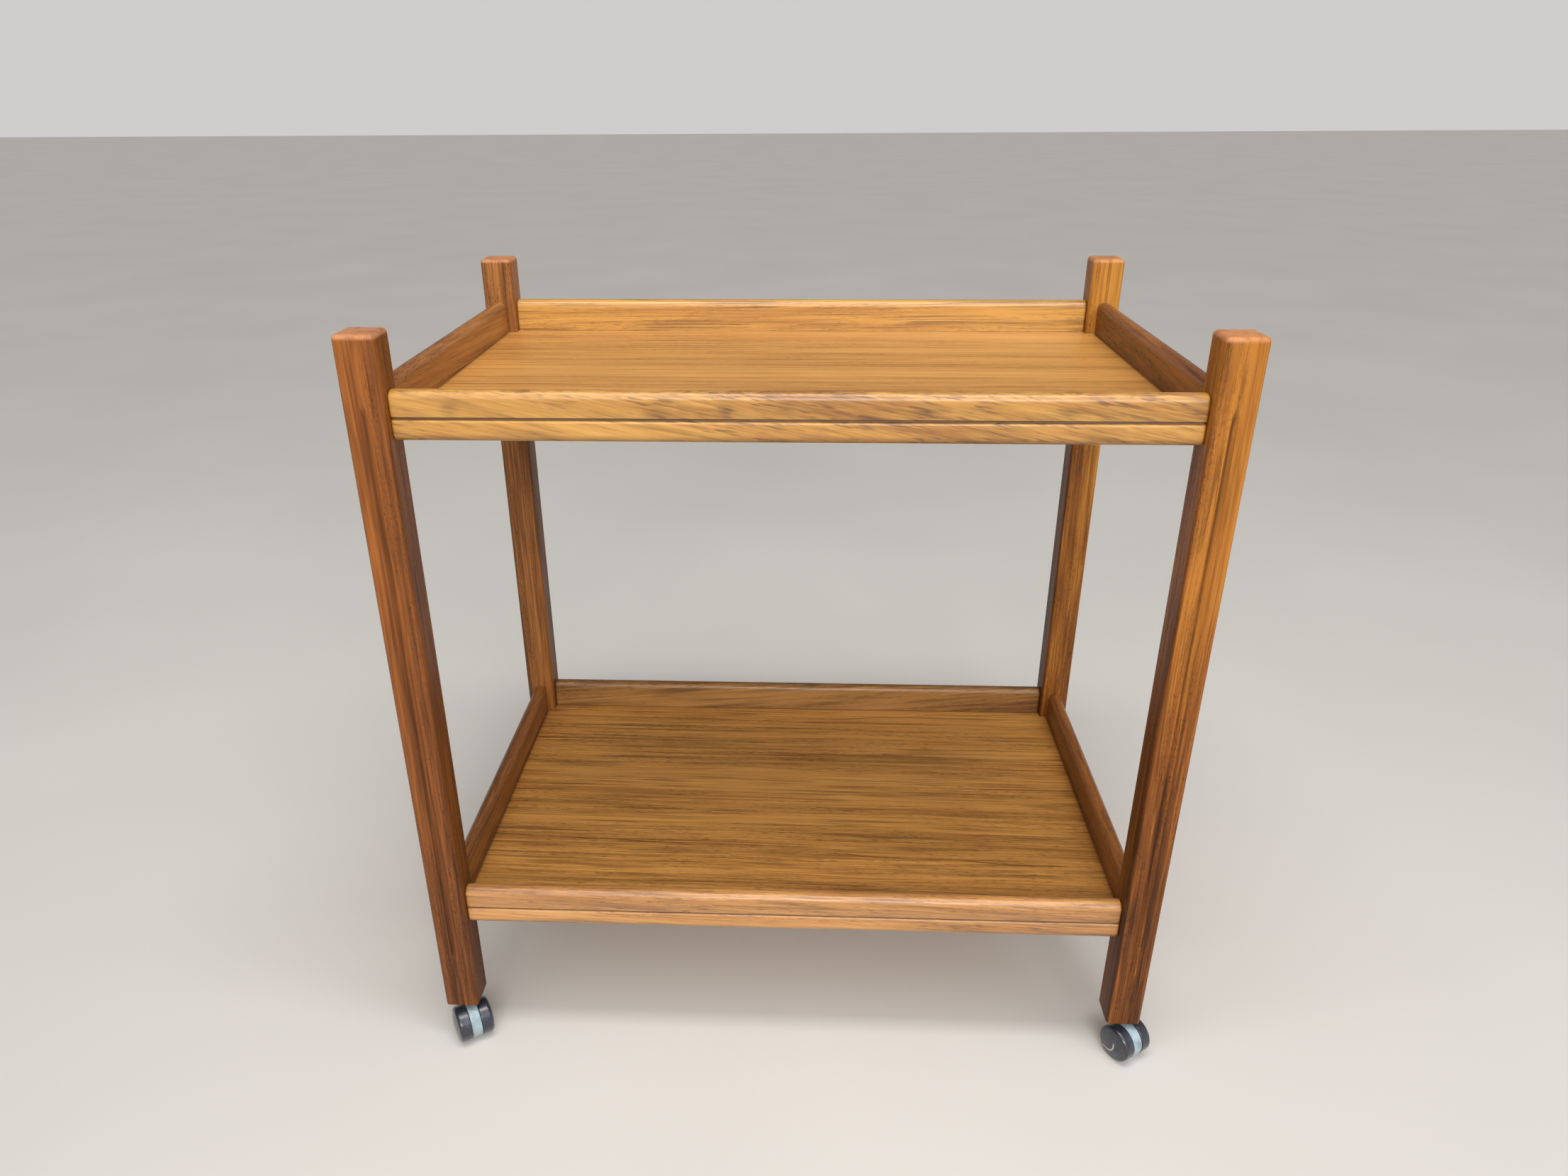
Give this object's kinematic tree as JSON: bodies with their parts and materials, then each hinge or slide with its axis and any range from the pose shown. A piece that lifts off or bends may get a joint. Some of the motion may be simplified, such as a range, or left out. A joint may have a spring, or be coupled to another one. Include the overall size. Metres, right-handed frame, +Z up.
{
  "type": "drinks trolley",
  "caption": "Two-tier wooden drinks trolley with square posts, railed trays and swivelling twin-wheel castors.",
  "frame": {"origin": "on the floor, under the middle of the trolley", "axes": "+X along the long side to the right, +Y to the back, +Z up"},
  "size_m": [0.796, 0.516, 0.7925],
  "materials": {
    "post_teak": "satin lacquered solid teak, reddish brown",
    "rail_teak": "satin lacquered solid teak, golden brown with dark streaks",
    "side_rail_teak": "satin lacquered solid teak, darker brown",
    "upper_veneer": "satin lacquered teak veneer, golden",
    "lower_veneer": "satin lacquered teak veneer, brown with dark grain lines",
    "dowel_beech": "bare beech",
    "wheel_plastic": "moulded charcoal plastic, worn gloss",
    "housing_plastic": "moulded pale blue-grey plastic",
    "zinc_steel": "zinc-plated steel"
  },
  "bodies": {
    "frame": {"leg_front_left": "post_teak", "leg_front_right": "post_teak", "leg_rear_left": "post_teak", "leg_rear_right": "post_teak", "rail_lower_front": "rail_teak", "rail_lower_rear": "rail_teak", "rail_lower_left": "side_rail_teak", "rail_lower_right": "side_rail_teak", "rail_upper_front": "rail_teak", "rail_upper_rear": "rail_teak", "rail_upper_left": "side_rail_teak", "rail_upper_right": "side_rail_teak", "dowel_lower_front_left": "dowel_beech", "dowel_lower_front_right": "dowel_beech", "dowel_lower_rear_right": "dowel_beech", "dowel_lower_rear_left": "dowel_beech", "dowel_lower_left_rear": "dowel_beech", "dowel_lower_left_front": "dowel_beech", "dowel_lower_right_front": "dowel_beech", "dowel_lower_right_rear": "dowel_beech", "dowel_upper_front_left": "dowel_beech", "dowel_upper_front_right": "dowel_beech", "dowel_upper_rear_right": "dowel_beech", "dowel_upper_rear_left": "dowel_beech", "dowel_upper_left_rear": "dowel_beech", "dowel_upper_left_front": "dowel_beech", "dowel_upper_right_front": "dowel_beech", "dowel_upper_right_rear": "dowel_beech", "board_lower": "lower_veneer", "board_upper": "upper_veneer", "castor_socket_front_left": "zinc_steel", "castor_socket_front_right": "zinc_steel", "castor_socket_rear_left": "zinc_steel", "castor_socket_rear_right": "zinc_steel"},
    "castor_front_left": {"castor_stem_front_left": "zinc_steel", "castor_housing_front_left": "housing_plastic", "castor_axle_front_left": "zinc_steel"},
    "wheel_left_front_left": {"wheel_left_front_left": "wheel_plastic"},
    "wheel_right_front_left": {"wheel_right_front_left": "wheel_plastic"},
    "castor_front_right": {"castor_stem_front_right": "zinc_steel", "castor_housing_front_right": "housing_plastic", "castor_axle_front_right": "zinc_steel"},
    "wheel_left_front_right": {"wheel_left_front_right": "wheel_plastic"},
    "wheel_right_front_right": {"wheel_right_front_right": "wheel_plastic"},
    "castor_rear_left": {"castor_stem_rear_left": "zinc_steel", "castor_housing_rear_left": "housing_plastic", "castor_axle_rear_left": "zinc_steel"},
    "wheel_left_rear_left": {"wheel_left_rear_left": "wheel_plastic"},
    "wheel_right_rear_left": {"wheel_right_rear_left": "wheel_plastic"},
    "castor_rear_right": {"castor_stem_rear_right": "zinc_steel", "castor_housing_rear_right": "housing_plastic", "castor_axle_rear_right": "zinc_steel"},
    "wheel_left_rear_right": {"wheel_left_rear_right": "wheel_plastic"},
    "wheel_right_rear_right": {"wheel_right_rear_right": "wheel_plastic"}
  },
  "joints": [
    {"name": "swivel_front_left", "type": "hinge", "parent": "frame", "child": "castor_front_left", "pos_m": [-0.36525, -0.22075, 0.045], "axis": [0, 0, 1], "continuous": true},
    {"name": "spin_left_front_left", "type": "hinge", "parent": "castor_front_left", "child": "wheel_left_front_left", "pos_m": [-0.3581, -0.2322, 0.02], "axis": [0.848, 0.5299, 0], "continuous": true},
    {"name": "spin_right_front_left", "type": "hinge", "parent": "castor_front_left", "child": "wheel_right_front_left", "pos_m": [-0.3581, -0.2322, 0.02], "axis": [0.848, 0.5299, 0], "continuous": true},
    {"name": "swivel_front_right", "type": "hinge", "parent": "frame", "child": "castor_front_right", "pos_m": [0.36525, -0.22075, 0.045], "axis": [0, 0, 1], "continuous": true},
    {"name": "spin_left_front_right", "type": "hinge", "parent": "castor_front_right", "child": "wheel_left_front_right", "pos_m": [0.3724, -0.2322, 0.02], "axis": [0.848, 0.5299, 0], "continuous": true},
    {"name": "spin_right_front_right", "type": "hinge", "parent": "castor_front_right", "child": "wheel_right_front_right", "pos_m": [0.3724, -0.2322, 0.02], "axis": [0.848, 0.5299, 0], "continuous": true},
    {"name": "swivel_rear_left", "type": "hinge", "parent": "frame", "child": "castor_rear_left", "pos_m": [-0.36525, 0.22075, 0.045], "axis": [0, 0, 1], "continuous": true},
    {"name": "spin_left_rear_left", "type": "hinge", "parent": "castor_rear_left", "child": "wheel_left_rear_left", "pos_m": [-0.3724, 0.2322, 0.02], "axis": [-0.848, -0.5299, 0], "continuous": true},
    {"name": "spin_right_rear_left", "type": "hinge", "parent": "castor_rear_left", "child": "wheel_right_rear_left", "pos_m": [-0.3724, 0.2322, 0.02], "axis": [-0.848, -0.5299, 0], "continuous": true},
    {"name": "swivel_rear_right", "type": "hinge", "parent": "frame", "child": "castor_rear_right", "pos_m": [0.36525, 0.22075, 0.045], "axis": [0, 0, 1], "continuous": true},
    {"name": "spin_left_rear_right", "type": "hinge", "parent": "castor_rear_right", "child": "wheel_left_rear_right", "pos_m": [0.3581, 0.2322, 0.02], "axis": [-0.848, -0.5299, 0], "continuous": true},
    {"name": "spin_right_rear_right", "type": "hinge", "parent": "castor_rear_right", "child": "wheel_right_rear_right", "pos_m": [0.3581, 0.2322, 0.02], "axis": [-0.848, -0.5299, 0], "continuous": true}
  ]
}
